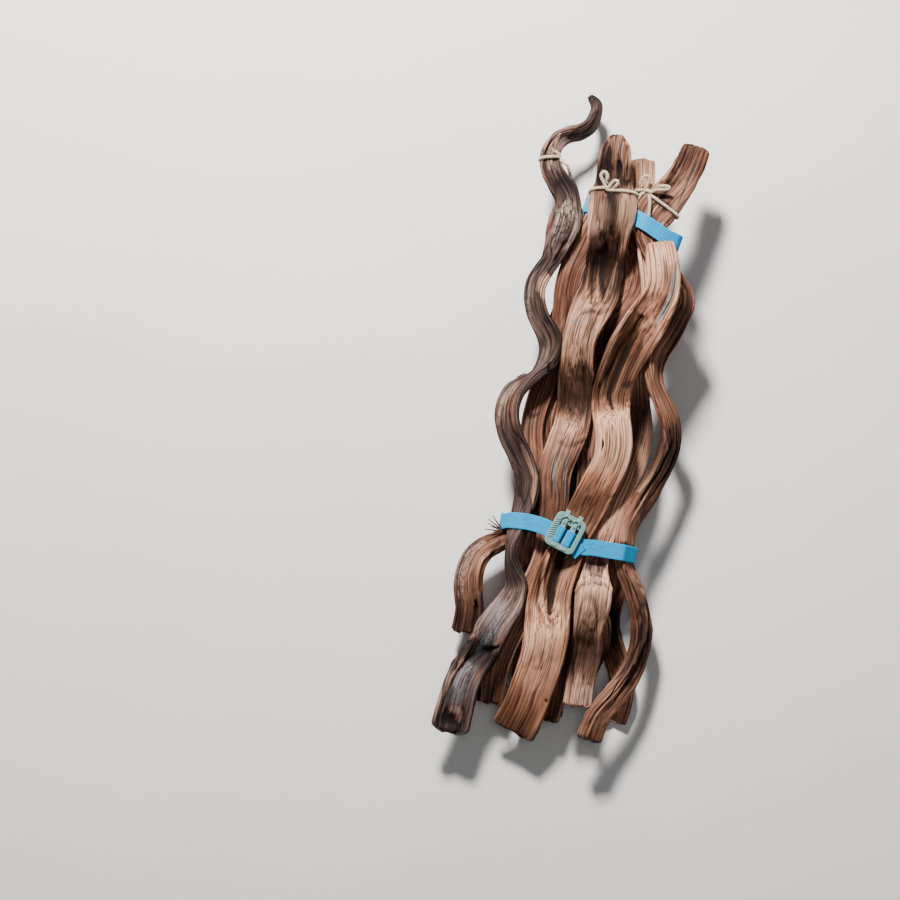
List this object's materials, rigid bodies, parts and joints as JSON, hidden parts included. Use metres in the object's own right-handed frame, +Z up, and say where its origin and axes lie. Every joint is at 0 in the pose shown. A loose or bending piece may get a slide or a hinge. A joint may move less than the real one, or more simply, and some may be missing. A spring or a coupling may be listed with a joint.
{
  "type": "strapped bundle of dried vine stems",
  "caption": "Bundle of dried, waving vine stems, drawn in by flat woven bands with ladder buckles and tied near the tips with jute twine.",
  "frame": {"origin": "under the middle of the bundle's box, on the plane it lies on", "axes": "+Y along the bundle from its cut ends to its tips, +X across it, +Z up from its back to its front, where the lower buckle is"},
  "size_m": [0.2812, 0.6638, 0.1036],
  "materials": {
    "vine_curl": "dry, fibrous bark, unfinished",
    "vine_broad": "dry, fibrous bark, unfinished",
    "vine_ladder": "dry, fibrous bark, unfinished",
    "vine_short": "dry, fibrous bark, unfinished",
    "vine_snake": "dry, fibrous bark, unfinished",
    "vine_elbow": "dry, fibrous bark, unfinished",
    "vine_inner": "dry, fibrous bark, unfinished",
    "vine_back_1": "dry, fibrous bark, unfinished",
    "vine_back_2": "dry, fibrous bark, unfinished",
    "vine_back_3": "dry, fibrous bark, unfinished",
    "vine_back_4": "dry, fibrous bark, unfinished",
    "vine_back_5": "dry, fibrous bark, unfinished",
    "band_lower": "woven plastic strap, slight sheen",
    "band_upper": "woven plastic strap, slight sheen",
    "buckle_lower": "moulded, satin",
    "buckle_upper": "moulded, satin",
    "twine_curl": "rough jute twine",
    "twine_hook": "rough jute twine",
    "twine_middle": "rough jute twine",
    "twine_right": "rough jute twine"
  },
  "bodies": {
    "root": {"vine_curl": "vine_curl", "vine_broad": "vine_broad", "vine_ladder": "vine_ladder", "vine_short": "vine_short", "vine_snake": "vine_snake", "vine_elbow": "vine_elbow", "vine_inner": "vine_inner", "vine_back_1": "vine_back_1", "vine_back_2": "vine_back_2", "vine_back_3": "vine_back_3", "vine_back_4": "vine_back_4", "vine_back_5": "vine_back_5", "band_lower": "band_lower", "band_upper": "band_upper", "buckle_lower": "buckle_lower", "buckle_upper": "buckle_upper", "twine_curl": "twine_curl", "twine_hook": "twine_hook", "twine_middle": "twine_middle", "twine_right": "twine_right"}
  },
  "joints": []
}
